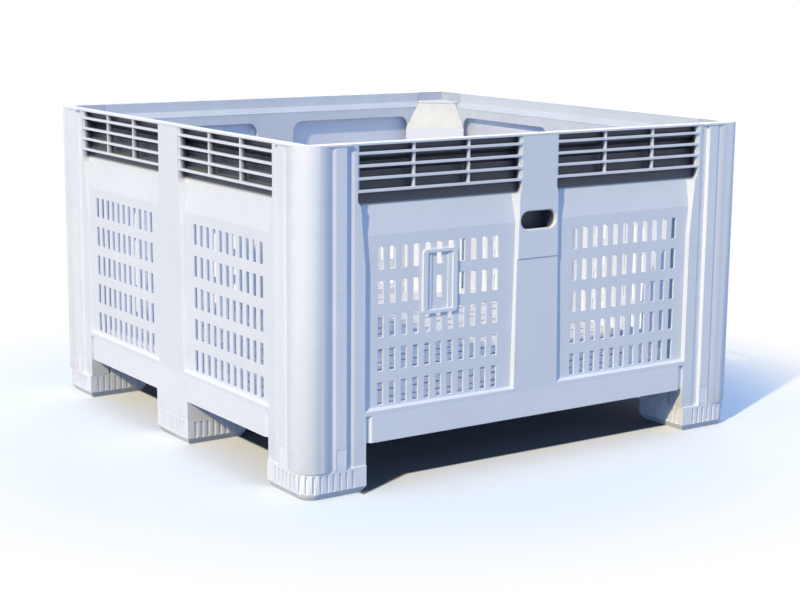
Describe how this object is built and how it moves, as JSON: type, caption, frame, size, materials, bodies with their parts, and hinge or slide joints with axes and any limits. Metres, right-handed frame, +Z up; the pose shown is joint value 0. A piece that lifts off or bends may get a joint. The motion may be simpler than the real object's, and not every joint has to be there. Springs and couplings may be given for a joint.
{
  "type": "ventilated fruit bin",
  "caption": "Square ventilated plastic orchard bin with slotted framed walls, louvred top band, fluted corner posts, hand holes and a footed fork-entry pallet base.",
  "frame": {"origin": "middle of the footprint, on the ground under the feet", "axes": "+Z up, -Y out of the face with the card holder, +X to that face's right"},
  "size_m": [1.194, 1.194, 0.724],
  "materials": {
    "wall_plastic": "moulded, fine satin, light dust in the recesses",
    "base_plastic": "moulded, fine satin, scuffed",
    "foot_plastic": "moulded, scuffed and dusty",
    "zinc": "zinc plated"
  },
  "bodies": {
    "root": {"front_wall_frame": "wall_plastic", "right_wall_frame": "wall_plastic", "rear_wall_frame": "wall_plastic", "left_wall_frame": "wall_plastic", "front_inner_liner": "wall_plastic", "right_inner_liner": "wall_plastic", "rear_inner_liner": "wall_plastic", "left_inner_liner": "wall_plastic", "front_rim_rail": "wall_plastic", "right_rim_rail": "wall_plastic", "rear_rim_rail": "wall_plastic", "left_rim_rail": "wall_plastic", "front_vent_panel_bay_a": "wall_plastic", "front_vent_panel_bay_b": "wall_plastic", "right_vent_panel_bay_a": "wall_plastic", "right_vent_panel_bay_b": "wall_plastic", "rear_vent_panel_bay_a": "wall_plastic", "rear_vent_panel_bay_b": "wall_plastic", "left_vent_panel_bay_a": "wall_plastic", "left_vent_panel_bay_b": "wall_plastic", "front_louvre_bay_a": "wall_plastic", "front_louvre_bay_b": "wall_plastic", "right_louvre_bay_a": "wall_plastic", "right_louvre_bay_b": "wall_plastic", "rear_louvre_bay_a": "wall_plastic", "rear_louvre_bay_b": "wall_plastic", "left_louvre_bay_a": "wall_plastic", "left_louvre_bay_b": "wall_plastic", "front_left_post": "wall_plastic", "front_right_post": "wall_plastic", "rear_right_post": "wall_plastic", "rear_left_post": "wall_plastic", "front_left_cap": "wall_plastic", "front_right_cap": "wall_plastic", "rear_right_cap": "wall_plastic", "rear_left_cap": "wall_plastic", "front_left_foot": "foot_plastic", "front_right_foot": "foot_plastic", "rear_right_foot": "foot_plastic", "rear_left_foot": "foot_plastic", "left_centre_foot": "foot_plastic", "right_centre_foot": "foot_plastic", "pallet_base": "base_plastic", "floor_deck": "base_plastic", "card_holder": "wall_plastic", "foot_bolts": "zinc"}
  },
  "joints": []
}
